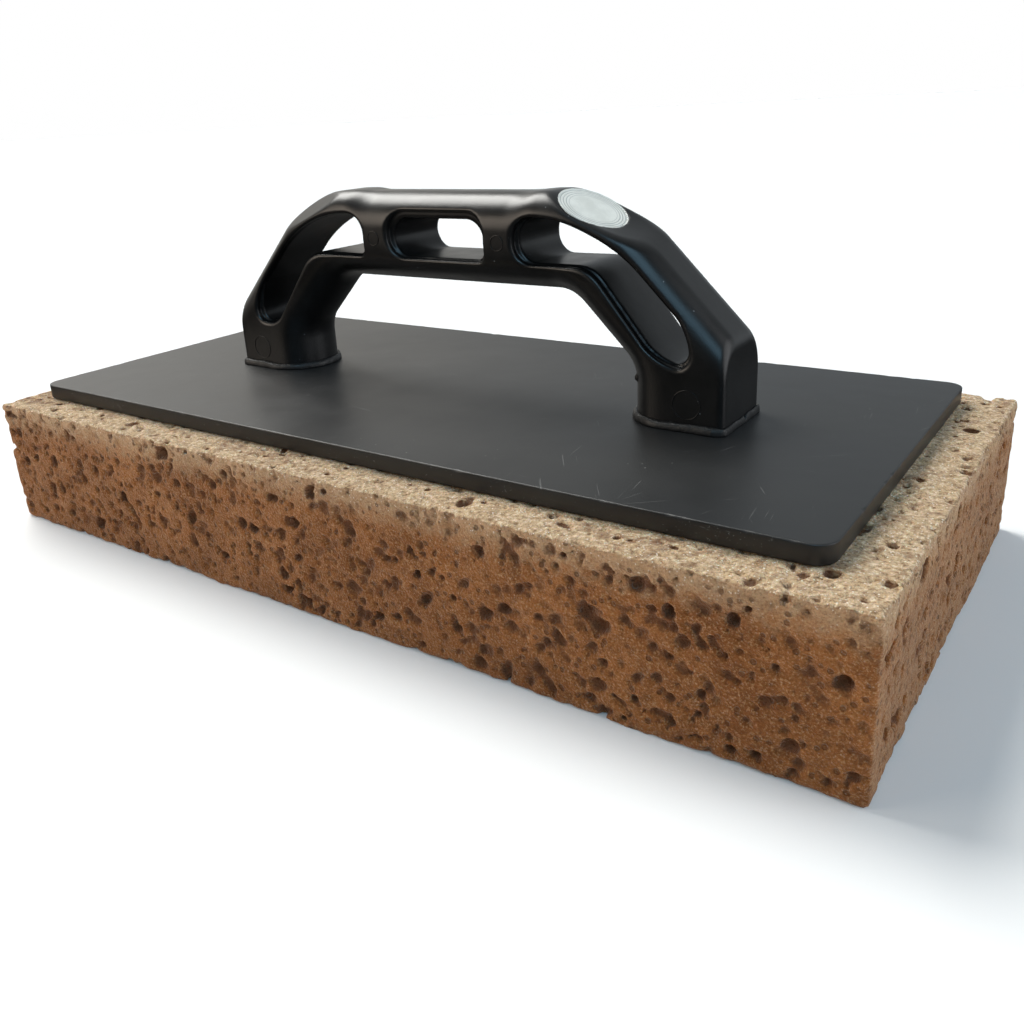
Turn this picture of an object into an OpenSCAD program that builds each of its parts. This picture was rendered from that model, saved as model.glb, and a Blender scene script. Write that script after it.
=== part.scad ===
// Sponge grout float: an open-bar handle welded to a flat plate that is bonded to a thick sponge.
// Millimetres, +Z up, origin at the middle of the sponge's underside, +X along the float.

/* [Sponge] */
// Length of the sponge block
sponge_l = 280; // [200:5:360]
// Width of the sponge block
sponge_w = 140; // [100:5:180]
// Height of the sponge block
sponge_h = 40; // [15:1:60]

/* [Adhesive] */
// Thickness of the contact adhesive film
glue_t = 0.3; // [0.1:0.1:1]
// How far the film stays inside the plate's edge
glue_inset = 3; // [1:0.5:8]

/* [Plate] */
// Length of the backing plate
plate_l = 262; // [180:1:340]
// Width of the backing plate
plate_w = 120.5; // [90:0.5:170]
// Thickness of the backing plate
plate_t = 4.5; // [2:0.5:8]
// Corner radius of the backing plate, seen from above
plate_corner_r = 5; // [1:0.5:15]
// How far the plate was bonded off the sponge's middle, along X
plate_shift_x = -3.7; // [-8:0.1:8]
// How far the plate was bonded off the sponge's middle, along Y
plate_shift_y = 2; // [-8:0.1:8]

/* [Handle] */
// Distance between the flat ends of the two feet
handle_l = 176; // [140:1:220]
// Depth of the handle, front to back
handle_w = 23.5; // [18:0.5:32]
// Height of the handle above the plate
handle_h = 58; // [45:0.5:80]
// Thickness of the arch, from its crown to its finger side
band_t = 26; // [20:0.5:32]
// Radius of the grip's upper long edges
grip_r = 10; // [6:0.5:11]
// Radius of the same edges along the shoulders and legs
crown_r = 7.5; // [3:0.5:10]
// Radius of the half-round finger side of the arch
belly_r = 12.5; // [12:0.1:18]
// Radius of the crown where the grip bends down into a leg
shoulder_r = 40; // [34:1:60]
// Radius of the same bend on the finger side
elbow_r = 12.2; // [6:0.1:20]
// Slope of the legs below the horizontal
leg_slope = 45; // [35:1:60]
// Length of a foot along the plate
foot_l = 28; // [22:0.5:36]
// Radius of the bend between a leg and its foot, on the finger side
knee_r = 9; // [4:0.5:14]
// Height above the plate where a leg's finger side and its foot's would meet
knee_rise = 13.6; // [8:0.1:20]
// Slope of the flat facet on the left shoulder's front edge, away from the crown
facet_lean = 36; // [25:1:50]
// Distance of the facet's upper edge from the handle's middle plane
facet_edge = 4; // [2:0.5:8]
// How far the handle was welded off the sponge's middle, along X
handle_shift_x = -2.5; // [-8:0.1:8]
// How far the handle was welded off the sponge's middle, along Y
handle_shift_y = 2.3; // [-8:0.1:8]

/* [Windows] */
// Length of the middle window
mid_window_l = 35.4; // [20:0.2:50]
// Height of the middle window
mid_window_h = 13.2; // [8:0.2:16]
// Height of the windows' lower edge above the plate
window_sill = 39.4; // [34:0.2:46]
// Corner radius of the middle window
mid_window_r = 6; // [2:0.5:6.5]
// Width of the two pillars between the windows
pillar_w = 9.3; // [6:0.1:14]
// Wall left between the windows and the top of the grip
window_wall = 6.6; // [4:0.1:9]
// Wall left between a side window and the crown of its leg
window_leg_wall = 5; // [4:0.1:9]
// Radius of a side window where it turns down the leg
window_bend_r = 44; // [20:1:55]
// Slope of a side window's finger-side edge
window_slope = 51; // [45:1:60]
// Where that edge meets the sill, from the handle's middle
window_elbow = 50.3; // [44:0.1:56]
// Height of a side window's lower end above the plate
window_floor = 15.6; // [12:0.1:22]
// Distance from a side window's outer end to the foot's flat end
window_end = 9.4; // [7:0.1:14]

/* [Marks] */
// Diameter of the blank round spot-face on the right shoulder
spot_d = 19.4; // [14:0.1:22]
// Distance of the spot-face from the handle's middle
spot_x = 46.2; // [40:0.1:52]
// Distance of the spot-face's middle behind the handle's middle plane
spot_y = -0.8; // [-4:0.1:4]
// Depth of the spot-face's middle below the top of the handle
spot_drop = 4.9; // [2:0.1:8]
// Slope of the spot-face towards its leg
spot_slope = 28; // [15:1:35]
// Slope of the spot-face towards the front
spot_lean = 6; // [0:0.5:12]
// Height of the step round the spot-face
spot_step = 0.4; // [0.2:0.1:2]
// Slope of the flared rim above that step
spot_flare = 10; // [5:1:40]
// Diameter of the ejector mark on each pillar
pillar_mark_d = 4.1; // [3:0.1:6]
// Height of that mark above the window sill
pillar_mark_rise = 5.4; // [3:0.1:9]
// Diameter of the ejector mark on each foot
foot_mark_d = 7.5; // [4:0.1:10]
// Height of that mark above the plate
foot_mark_rise = 6.8; // [5:0.1:9]
// Distance of that mark from the foot's flat end
foot_mark_inset = 10; // [6:0.5:16]

/* [Weld] */
// Height of the weld bead around a foot
bead_h = 2.4; // [1:0.1:4]
// Width of the weld bead where it lies on the plate
bead_w = 1.8; // [1:0.1:4]
// Width of the weld bead along a foot's flat end
bead_end_w = 0.8; // [0.5:0.1:4]

/* [Hidden] */

$fn = 96;
arc_steps = 9;
over = 1;
mark_groove = 0.35;
mark_depth = 0.2;
spot_groove = 0.5;
spot_groove_depth = 0.25;

glue_z = sponge_h;
plate_z = glue_z + glue_t;
plate_top = plate_z + plate_t;
crest_z = plate_top + handle_h;
half_l = handle_l / 2;
half_w = handle_w / 2;

// The arch is drawn in the XZ plane, with z measured from the ground. Its bends are short flat steps.
shoulder_steps = 3;
elbow_steps = 3;
knee_steps = 3;
reach = 2 * handle_l;
foot_in = half_l - foot_l;
belly_z = crest_z - band_t;

// The finger side of a leg would meet the foot in a sharp corner here.
corner_z = plate_top + knee_rise;
knee_reach = knee_r * tan((90 - leg_slope) / 2);
knee_centre = [foot_in - knee_r, corner_z - knee_reach];

// The finger side of the grip would meet the leg in a sharp corner at elbow_corner.
elbow_corner = foot_in - (belly_z - corner_z) / tan(leg_slope);
elbow_centre = [elbow_corner - elbow_r * tan(leg_slope / 2), belly_z - elbow_r];

// Where a leg's crown line, moved inward by inset, passes height z.
function crown_x(z, inset = 0) =
    foot_in + (band_t - inset) / sin(leg_slope) - (z - corner_z) / tan(leg_slope);

shoulder_centre = [crown_x(crest_z) - shoulder_r * tan(leg_slope / 2), crest_z - shoulder_r];

// Radii of a side window's corners, from its inner lower one round by the top.
side_window_radii = [3.5, 5, window_bend_r, 4, 4, 3, 5];

// An outline with each corner p[i] rounded to radius r[i] by an arc of arc_steps chords.
function unit(v) = v / norm(v);
function arc_at(a, p, b, r) =
    let (
        u = unit(a - p),
        w = unit(b - p),
        half = acos(u * w) / 2,
        centre = p + unit(u + w) * r / sin(half),
        first = p + u * r / tan(half) - centre,
        turn = (u[0] * w[1] - u[1] * w[0] > 0 ? -1 : 1) * (180 - 2 * half)
    )
    [for (k = [0 : arc_steps])
        let (t = turn * k / arc_steps)
        centre + [first[0] * cos(t) - first[1] * sin(t), first[0] * sin(t) + first[1] * cos(t)]];
function rounded(p, r) =
    [for (i = [0 : len(p) - 1])
        each arc_at(p[(i + len(p) - 1) % len(p)], p[i], p[(i + 1) % len(p)], r[i])];

// Stands a drawing of the XZ plane up and gives it a depth along Y, centred.
module along_y(depth) {
    rotate([90, 0, 0])
        linear_extrude(depth, center = true)
            children();
}

// A long straight body whose outer side lies at distance r from centre, sloping down to the right.
// In its section, x is depth along Y and y points outward.
module facing(centre, slope, r) {
    translate([centre[0], 0, centre[1]])
        rotate([0, slope, 0])
            translate([0, 0, r])
                rotate([90, 0, 90])
                    linear_extrude(reach, center = true)
                        children();
}

// Crown of the arch, seen end on: a flat top at zero, rounded long edges and straight sides.
module crown_section(r) {
    for (side = [-1, 1])
        translate([side * (half_w - r), -r])
            circle(r);
    translate([r - half_w, -reach])
        square([handle_w - 2 * r, reach]);
    translate([-half_w, -reach])
        square([handle_w, reach - r]);
}

// Finger side of the arch, seen end on: a half-round that faces the hand and starts at zero.
module belly_section() {
    translate([0, belly_r])
        circle(belly_r);
    translate([-belly_r, belly_r])
        square([2 * belly_r, reach]);
}

// Everything under the crown: the grip's top, the two shoulders, the legs and the feet's flat ends.
module crown_form() {
    intersection() {
        translate([-half_l, -handle_w, plate_top])
            cube([handle_l, 2 * handle_w, handle_h + over]);
        facing([0, crest_z], 0, 0)
            crown_section(grip_r);
        intersection_for (side = [0, 1])
            mirror([side, 0, 0])
                intersection_for (k = [1 : shoulder_steps])
                    facing(shoulder_centre, leg_slope * k / shoulder_steps, shoulder_r)
                        crown_section(crown_r);
    }
}

// Everything beyond the finger opening: above the grip's underside and outside the legs and feet.
module belly_form() {
    facing([0, belly_z], 0, 0)
        belly_section();
    for (side = [0, 1])
        mirror([side, 0, 0]) {
            for (k = [1 : elbow_steps])
                facing(elbow_centre, leg_slope * k / elbow_steps, elbow_r)
                    belly_section();
            for (k = [1 : knee_steps])
                facing(knee_centre, leg_slope + (90 - leg_slope) * k / knee_steps, knee_r)
                    belly_section();
        }
}

// One side window: along the grip, round the shoulder and down the leg.
module side_window() {
    x0 = mid_window_l / 2 + pillar_w;
    z0 = plate_top + window_sill;
    z_top = crest_z - window_wall;
    z_low = plate_top + window_floor;
    x_end = half_l - window_end;
    elbow_run = (z0 - z_low) / tan(window_slope);
    turn_x = crown_x(z_top, window_leg_wall);
    end_z = z_top - (x_end - turn_x) * tan(leg_slope);
    outline = [
        [x0, z0],
        [x0, z_top],
        [turn_x, z_top],
        [x_end, end_z],
        [x_end, z_low],
        [window_elbow + elbow_run, z_low],
        [window_elbow, z0]
    ];
    along_y(handle_w + 2 * over)
        polygon(rounded(outline, side_window_radii));
}

module middle_window() {
    z0 = plate_top + window_sill;
    z1 = z0 + mid_window_h;
    x1 = mid_window_l / 2;
    along_y(handle_w + 2 * over)
        polygon(rounded([[-x1, z0], [-x1, z1], [x1, z1], [x1, z0]], [for (i = [1 : 4]) mid_window_r]));
}

// What the flat facet takes off the front edge of the left shoulder, halfway round its bend.
module shoulder_facet() {
    mirror([1, 0, 0])
        translate([shoulder_centre[0], 0, shoulder_centre[1]])
            rotate([0, leg_slope / 2, 0])
                translate([0, -facet_edge, shoulder_r])
                    rotate([facet_lean, 0, 0])
                        translate([-reach / 2, -reach / 2, 0])
                            cube([reach, reach, handle_h]);
}

// The blank round spot-face, with turned grooves near its rim and a low step and a flare round it.
module spot_face() {
    translate([spot_x, spot_y, crest_z - spot_drop])
        rotate([0, spot_slope, 0])
            rotate([spot_lean, 0, 0]) {
                cylinder(h = handle_h / 4, d = spot_d);
                translate([0, 0, spot_step])
                    cylinder(h = spot_drop, d1 = spot_d, d2 = spot_d + 2 * spot_drop / tan(spot_flare));
                for (k = [1 : 3])
                    ring_groove(spot_d - 4 * k * spot_groove, spot_groove, spot_groove_depth);
            }
}

// A shallow ring sunk below z = 0.
module ring_groove(d, width, depth) {
    difference() {
        translate([0, 0, -depth])
            cylinder(h = 2 * depth, d = d);
        translate([0, 0, -2 * depth])
            cylinder(h = 4 * depth, d = d - 2 * width);
    }
}

// An ejector mark on the front face, at x and height z.
module ejector_mark(x, z, d) {
    translate([x, -half_w, z])
        rotate([90, 0, 0])
            ring_groove(d, mark_groove, mark_depth);
}

module handle() {
    mark_x = mid_window_l / 2 + pillar_w / 2;
    foot_mark_x = half_l - foot_mark_inset;
    color([0.06, 0.065, 0.07])
        translate([handle_shift_x, handle_shift_y, 0])
            difference() {
                intersection() {
                    crown_form();
                    belly_form();
                }
                middle_window();
                spot_face();
                shoulder_facet();
                for (side = [0, 1])
                    mirror([side, 0, 0]) {
                        side_window();
                        ejector_mark(mark_x, plate_top + window_sill + pillar_mark_rise, pillar_mark_d);
                        ejector_mark(foot_mark_x, plate_top + foot_mark_rise, foot_mark_d);
                    }
            }
}

// Bead section: steep against the foot, rounded over, thin where it lies on the plate.
module bead_section(width) {
    intersection() {
        square([width, bead_h]);
        translate([width - bead_h, 0])
            circle(bead_h);
    }
}

// Weld flash around one foot: half-round on the finger side, straight along the sides and the end.
module weld_bead() {
    side_l = foot_l - half_w;
    translate([foot_in + half_w, 0, plate_top]) {
        rotate([0, 0, 90])
            rotate_extrude(angle = 180)
                translate([half_w, 0])
                    bead_section(bead_w);
        for (side = [0, 1])
            mirror([0, side, 0])
                translate([0, half_w, 0])
                    rotate([90, 0, 90])
                        linear_extrude(side_l + bead_end_w)
                            bead_section(bead_w);
        translate([side_l, half_w, 0])
            rotate([90, 0, 0])
                linear_extrude(handle_w)
                    bead_section(bead_end_w);
    }
}

module weld_bead_left() {
    color([0.07, 0.075, 0.08])
        translate([handle_shift_x, handle_shift_y, 0])
            mirror([1, 0, 0])
                weld_bead();
}

module weld_bead_right() {
    color([0.07, 0.075, 0.08])
        translate([handle_shift_x, handle_shift_y, 0])
            weld_bead();
}

// A plate with rounded corners, standing on z = 0.
module rounded_plate(l, w, t, r) {
    translate([-l / 2 + r, -w / 2, 0])
        cube([l - 2 * r, w, t]);
    translate([-l / 2, -w / 2 + r, 0])
        cube([l, w - 2 * r, t]);
    for (x = [-1, 1], y = [-1, 1])
        translate([x * (l / 2 - r), y * (w / 2 - r), 0])
            cylinder(h = t, r = r);
}

module base_plate() {
    color([0.13, 0.135, 0.14])
        translate([plate_shift_x, plate_shift_y, plate_z])
            rounded_plate(plate_l, plate_w, plate_t, plate_corner_r);
}

module adhesive_layer() {
    color([0.62, 0.5, 0.3])
        translate([plate_shift_x, plate_shift_y, glue_z])
            rounded_plate(plate_l - 2 * glue_inset, plate_w - 2 * glue_inset, glue_t, plate_corner_r);
}

module sponge() {
    color([0.62, 0.42, 0.25])
        translate([-sponge_l / 2, -sponge_w / 2, 0])
            cube([sponge_l, sponge_w, sponge_h]);
}

sponge();
adhesive_layer();
base_plate();
handle();
weld_bead_left();
weld_bead_right();
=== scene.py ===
"""Looks for the sponge grout float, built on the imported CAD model. Sizes here are in millimetres."""

import math

import bpy
import numpy as np
from mathutils import Matrix, Vector


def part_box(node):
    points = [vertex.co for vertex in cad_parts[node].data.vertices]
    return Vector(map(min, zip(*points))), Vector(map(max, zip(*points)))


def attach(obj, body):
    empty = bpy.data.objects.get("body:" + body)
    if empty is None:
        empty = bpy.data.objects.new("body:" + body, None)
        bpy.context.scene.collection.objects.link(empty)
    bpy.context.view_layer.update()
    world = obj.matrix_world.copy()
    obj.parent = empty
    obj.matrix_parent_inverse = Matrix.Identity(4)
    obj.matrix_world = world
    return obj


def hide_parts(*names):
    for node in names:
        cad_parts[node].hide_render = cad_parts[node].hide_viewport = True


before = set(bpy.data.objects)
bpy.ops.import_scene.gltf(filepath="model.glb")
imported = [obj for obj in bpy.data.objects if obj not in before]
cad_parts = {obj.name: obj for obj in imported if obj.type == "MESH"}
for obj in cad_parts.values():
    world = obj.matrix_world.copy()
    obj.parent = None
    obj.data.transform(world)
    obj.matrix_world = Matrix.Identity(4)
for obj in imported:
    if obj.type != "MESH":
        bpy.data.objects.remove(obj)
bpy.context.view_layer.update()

MM = 0.001
SEED = 47
COS45 = math.cos(math.pi / 4)


def box_mm(node):
    """A CAD node's lowest and highest corners, in millimetres."""
    low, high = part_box(node)
    return np.array(low) / MM, np.array(high) / MM


# ---------------------------------------------------------------- meshes


def make_piece(name, points, faces, node, material):
    """A smooth mesh from points in millimetres, riding on the root body. It replaces node, if given."""
    mesh = bpy.data.meshes.new(name)
    sizes = np.array([len(face) for face in faces], np.int32)
    corners = np.concatenate(faces).astype(np.int32)
    mesh.vertices.add(len(points))
    mesh.vertices.foreach_set("co", (np.asarray(points, np.float32) * MM).ravel())
    mesh.loops.add(len(corners))
    mesh.loops.foreach_set("vertex_index", corners)
    mesh.polygons.add(len(sizes))
    mesh.polygons.foreach_set("loop_start", np.cumsum(sizes, dtype=np.int32) - sizes)
    mesh.polygons.foreach_set("use_smooth", np.ones(len(sizes), bool))
    mesh.update(calc_edges=True)
    mesh.validate()
    mesh.materials.append(material)
    piece = bpy.data.objects.new(name, mesh)
    bpy.context.scene.collection.objects.link(piece)
    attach(piece, "root")
    if node:
        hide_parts(node)
    return piece


def grid_points(low, high, cell):
    """The three axes of a grid that covers a box with a margin of two cells."""
    return [np.arange(a - 2 * cell, b + 3 * cell, cell, dtype=np.float32) for a, b in zip(low, high)]


def surface_net(value, axes, cell):
    """Points and four-cornered faces of the surface where value, negative inside, passes zero."""
    inside = value < 0
    n = np.array(value.shape) - 1
    count = np.zeros(n, np.int8)
    corners = [(i, j, k) for i in (0, 1) for j in (0, 1) for k in (0, 1)]
    for i, j, k in corners:
        count += inside[i : i + n[0], j : j + n[1], k : k + n[2]]
    mixed = (count > 0) & (count < 8)
    index = np.full(n, -1, np.int64)
    index[mixed] = np.arange(int(mixed.sum()))
    cubes = np.argwhere(mixed)
    total = np.zeros((len(cubes), 3))
    hits = np.zeros(len(cubes))
    for corner in corners:
        for axis in range(3):
            if corner[axis]:
                continue
            step = np.eye(3, dtype=int)[axis]
            a = cubes + np.array(corner)
            va, vb = value[tuple(a.T)], value[tuple((a + step).T)]
            cross = (va < 0) != (vb < 0)
            t = va[cross] / (va[cross] - vb[cross])
            total[cross] += np.array(corner) + t[:, None] * step
            hits[cross] += 1
    origin = np.array([axis[0] for axis in axes])
    points = origin + cell * (cubes + total / hits[:, None])
    faces = []
    for axis in range(3):
        u, v = [(1, 2), (2, 0), (0, 1)][axis]
        first = np.moveaxis(inside, axis, 0)
        change = np.moveaxis(first[1:] != first[:-1], 0, axis)
        where = np.argwhere(change)
        keep = np.all((where > 0) | (np.arange(3) == axis), axis=1) & np.all(where < n, axis=1)
        where = where[keep]
        ring = []
        for du, dv in ((0, 0), (-1, 0), (-1, -1), (0, -1)):
            cube = where.copy()
            cube[:, u] += du
            cube[:, v] += dv
            ring.append(index[tuple(cube.T)])
        quad = np.stack(ring, 1)
        outward = inside[tuple(where.T)]
        quad[~outward] = quad[~outward][:, ::-1]
        faces.append(quad)
    return points, np.concatenate(faces)


def largest_part(points, faces):
    """Only the biggest connected part of a mesh, so that no loose crumb is left."""
    label = np.arange(len(points))
    a = faces.ravel()
    b = np.roll(faces, 1, axis=1).ravel()
    while True:
        low = np.minimum(label[a], label[b])
        new = label.copy()
        np.minimum.at(new, a, low)
        np.minimum.at(new, b, low)
        new = new[new]
        if np.array_equal(new, label):
            break
        label = new
    kept = label == np.bincount(label).argmax()
    moved = np.cumsum(kept) - 1
    return points[kept], moved[faces[kept[faces[:, 0]]]]


def settle(points, field):
    """Moves points of a net onto the exact surface of a field."""
    step, reach = 0.02, 0.2
    for _ in range(3):
        here = field(*points.T)
        ahead = np.stack([field(*(points + step * e).T) for e in np.eye(3)], 1)
        behind = np.stack([field(*(points - step * e).T) for e in np.eye(3)], 1)
        slope = (ahead - behind) / (2 * step)
        size = np.maximum((slope**2).sum(1), 0.25)
        move = -here[:, None] * slope / size[:, None]
        length = np.linalg.norm(move, axis=1, keepdims=True)
        points = points + move * np.minimum(1, reach / np.maximum(length, 1e-9))
    return points


# ---------------------------------------------------------------- fields


def lattice_noise(x, y, z, size, seed):
    """Smooth noise between -1 and 1 whose bumps are about size apart."""
    count, offset = 64, 1000
    table = np.random.default_rng(SEED + seed).uniform(-1, 1, (count, count, count)).astype(np.float32)
    result = 0.0
    parts = []
    for c in (x, y, z):
        c = np.asarray(c, np.float32) / size + offset
        whole = np.floor(c)
        f = c - whole
        parts.append((whole.astype(np.int32) % count, f * f * (3 - 2 * f)))
    (ix, fx), (iy, fy), (iz, fz) = parts
    for i in (0, 1):
        for j in (0, 1):
            for k in (0, 1):
                weight = (fx if i else 1 - fx) * (fy if j else 1 - fy) * (fz if k else 1 - fz)
                result = result + weight * table[(ix + i) % count, (iy + j) % count, (iz + k) % count]
    return result


def smooth_max(a, b, k):
    """The larger of two distances, with the edge between them rounded over a width k."""
    h = np.maximum(k - np.abs(a - b), 0) / k
    return np.maximum(a, b) + h * h * k / 4


def smooth_min(a, b, k):
    """The smaller of two distances, blended in the same way."""
    return -smooth_max(-a, -b, k)


def round_max(a, b, r):
    """The larger of two distances measured at right angles, with a round corner of radius r."""
    return np.minimum(-r, np.maximum(a, b)) + np.hypot(np.maximum(r + a, 0), np.maximum(r + b, 0))


def smooth_step(low, high, t):
    """Rises smoothly from 0 at low to 1 at high."""
    f = np.clip((t - low) / (high - low), 0, 1)
    return f * f * (3 - 2 * f)


# ---------------------------------------------------------------- handle

handle_low, handle_high = box_mm("handle")
HX, HY = (handle_low[:2] + handle_high[:2]) / 2
FOOT_Z, CREST_Z = handle_low[2], handle_high[2]
HALF_L = (handle_high[0] - handle_low[0]) / 2
HALF_W = (handle_high[1] - handle_low[1]) / 2

# The arch, as in the CAD model: its thickness, the radii of its section and bends, and its feet.
BAND = 26.0
GRIP_CROWN_R, LEG_CROWN_R, BELLY_R = 10.0, 7.5, 12.5
CROWN_BLEND = (24.0, 34.0)
SHOULDER_R, ELBOW_R, KNEE_R = 40.0, 12.2, 9.0
FOOT_IN = HALF_L - 28.0
CORNER_Z = FOOT_Z + 13.6
BELLY_Z = CREST_Z - BAND
TAN_HALF = math.tan(math.pi / 8)


def crown_x(z, inset=0.0):
    """Where a leg's crown line, moved inward by inset, passes height z."""
    return FOOT_IN + (BAND - inset) / COS45 - (z - CORNER_Z)


SHOULDER = (crown_x(CREST_Z) - SHOULDER_R * TAN_HALF, CREST_Z - SHOULDER_R)
ELBOW = (FOOT_IN - (BELLY_Z - CORNER_Z) - ELBOW_R * TAN_HALF, BELLY_Z - ELBOW_R)
KNEE = (FOOT_IN - KNEE_R, CORNER_Z - KNEE_R * TAN_HALF)

# The windows: the middle one's half length, top and corner radius, then the edges of the side ones.
SILL_Z = FOOT_Z + 39.4
MID_HALF, MID_TOP, MID_R = 17.3, SILL_Z + 13.2, 6.0
SIDE_IN = 27.0
SIDE_TOP = CREST_Z - 6.6
SIDE_OUT = HALF_L - 9.4
SIDE_LOW = FOOT_Z + 15.6
SIDE_BEND_R = 44.0
SIDE_BEND = (crown_x(SIDE_TOP, 5.0) - SIDE_BEND_R * TAN_HALF, SIDE_TOP - SIDE_BEND_R)
SIDE_SLOPE = math.radians(51)
SIDE_ELBOW = 50.3

# A side window's corner radii: at the grip, its outer end, its floor, its elbow and its lower side.
SIDE_CORNERS = (5.5, 4.0, 4.0, 4.0, 5.5)

# Radius of the corners that are nearly square, and how far above the sill the middle window's one reaches.
SHARP_R, SHARP_RISE = 2.2, 5.0

# Behind its front mouth a window is smaller by these amounts at its top, ends, sill and slope. The last one
# is for the outer side of the right leg's window, where it sets in along X.
MOUTH_CUT = (0.0, 0.0, 0.0, 0.0, 0.0)
TUNNEL_CUT = (2.0, 1.2, 0.4, 0.7, 1.05)
RIGHT_CUT_FROM = (34.0, 52.0)
MOUTH_DEPTH = 2.1

# How much lower the crown is over the grip's middle, and where that fades out.
SAG, SAG_FADE = 0.35, (27.0, 34.0)

# Widths over which the handle's edges are rounded.
BELLY_EDGE, END_EDGE, FACET_EDGE = 1.4, 1.8, 0.5
MOUTH_EDGE, WINDOW_EDGE = 1.0, 1.3
SPOT_EDGE, NUB_EDGE = 1.8, 0.3

# The flat facet on the left shoulder's front edge, drawn on the right one: a point on it and its direction.
FACET_TURN, FACET_LEAN = math.pi / 8, math.radians(36)
FACET = (
    SHOULDER[0] + SHOULDER_R * math.sin(FACET_TURN),
    -4.0,
    SHOULDER[1] + SHOULDER_R * math.cos(FACET_TURN),
)
FACET_AXIS = (
    math.cos(FACET_LEAN) * math.sin(FACET_TURN),
    -math.sin(FACET_LEAN),
    math.cos(FACET_LEAN) * math.cos(FACET_TURN),
)

# The round spot-face on the right shoulder, with a low step and a flare round it.
SPOT_R = 9.7
SPOT = np.array([46.2, -0.8, CREST_Z - 4.9])
SPOT_TURN = Matrix.Rotation(math.radians(28), 3, "Y") @ Matrix.Rotation(math.radians(6), 3, "X")
SPOT_STEP, SPOT_FLARE = 0.4, math.tan(math.radians(10))
SPOT_AXIS = np.array(SPOT_TURN @ Vector((0, 0, 1)))

# The cut gate of the moulding, on the right foot.
NUB, NUB_R, NUB_STRETCH = (62.1, -7.0, FOOT_Z + 11.0), 0.75, 1.4


def bend(x, z, centre, r):
    """Distance outward from a line that runs level, turns down by 45 degrees round centre and goes on."""
    dx, dz = x - centre[0], z - centre[1]
    slant = (dx + dz) * COS45
    return np.where(dx < 0, dz, np.where(dx > dz, slant, np.hypot(dx, dz))) - r


def window_field(px, z, cut):
    """Distance to the nearest window's outline in the XZ plane, negative inside. cut makes it smaller.
    The lower right corners of the middle and left windows are nearly square, all others round."""
    top, end, sill, slope, right = cut
    inner, outer, floor_r, elbow, lower = SIDE_CORNERS
    x = np.abs(px)
    corner = np.where((px > 0) & (z < SILL_Z + SHARP_RISE), SHARP_R, MID_R - sill)
    mid_low, mid_high = SILL_Z + sill, MID_TOP - top
    rise = np.abs(z - (mid_low + mid_high) / 2) - (mid_high - mid_low) / 2
    middle = round_max(x - MID_HALF + end, rise, corner)
    crown = bend(x, z, SIDE_BEND, SIDE_BEND_R) + right * smooth_step(*RIGHT_CUT_FROM, px)
    side = round_max(crown, SIDE_IN + end - x, inner)
    side = round_max(side, x - SIDE_OUT + end, outer)
    side = round_max(side, SIDE_LOW + sill - z, floor_r)
    run = slope - (x - SIDE_ELBOW) * math.sin(SIDE_SLOPE) - (z - SILL_Z) * math.cos(SIDE_SLOPE)
    lower_side = smooth_min(SILL_Z + sill - z, run, elbow)
    side = round_max(side, lower_side, np.where(px < 0, SHARP_R, lower))
    return np.minimum(middle, side)


def arch_field(px, py, pz):
    """Distance to the handle's surface before the spot-face is cut, about zero, negative inside.
    The windows are cored from the front, so only their front mouths are wider."""
    x, v = np.abs(px), np.abs(py)
    sag = SAG * (1 - smooth_step(*SAG_FADE, x))
    above = bend(x, pz, SHOULDER, SHOULDER_R) + sag
    crown_r = GRIP_CROWN_R + (LEG_CROWN_R - GRIP_CROWN_R) * smooth_step(*CROWN_BLEND, x)
    crown = round_max(above, v - HALF_W, crown_r)
    kx, kz = x - KNEE[0], pz - KNEE[1]
    knee = np.where(kz <= 0, kx, np.hypot(kx, kz)) - KNEE_R
    rise = np.where(kx > kz, knee, bend(x, pz, ELBOW, ELBOW_R))
    belly = np.where(rise >= BELLY_R, v, np.hypot(BELLY_R - rise, v)) - BELLY_R
    body = smooth_max(crown, belly, BELLY_EDGE)
    body = smooth_max(body, x - HALF_L, END_EDGE)
    facet = sum((c - at) * n for c, at, n in zip((-px, py, pz), FACET, FACET_AXIS))
    body = smooth_max(body, facet, FACET_EDGE)
    mouth = np.maximum(window_field(px, pz, MOUTH_CUT), HALF_W - MOUTH_DEPTH + py)
    hole = smooth_min(window_field(px, pz, TUNNEL_CUT), mouth, MOUTH_EDGE)
    body = smooth_max(body, -hole, WINDOW_EDGE)
    return np.maximum(body, FOOT_Z - pz)


def handle_field(px, py, pz):
    """Distance to the handle's surface. Coordinates are from the handle's middle."""
    rel = (px - SPOT[0], py - SPOT[1], pz - SPOT[2])
    up = sum(r * n for r, n in zip(rel, SPOT_AXIS))
    across = np.sqrt(np.maximum(sum(r * r for r in rel) - up * up, 0))
    flare = up - SPOT_STEP - SPOT_FLARE * np.maximum(across - SPOT_R, 0)
    body = smooth_max(arch_field(px, py, pz), flare, SPOT_EDGE)
    body = np.maximum(body, np.minimum(up, SPOT_R - across))
    nub_across = (px - NUB[0]) ** 2 + (py - NUB[1]) ** 2
    nub = np.sqrt(nub_across + ((pz - NUB[2]) / NUB_STRETCH) ** 2) - NUB_R
    return smooth_min(body, nub, NUB_EDGE)


def build_handle(material):
    """The handle moulding, meshed from its field."""
    cell = 0.5
    half = np.array([HALF_L, HALF_W, 0])
    axes = grid_points(-half + [0, 0, FOOT_Z], half + [0, 0, CREST_Z], cell)
    x, y, z = np.meshgrid(*axes, indexing="ij")
    points, faces = surface_net(handle_field(x, y, z), axes, cell)
    points = settle(points, handle_field)
    points[:, 2] = np.clip(points[:, 2], FOOT_Z, CREST_Z)
    points, faces = largest_part(points, faces)
    return make_piece("handle_moulding", points + [HX, HY, 0], faces, "handle", material)


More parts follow.
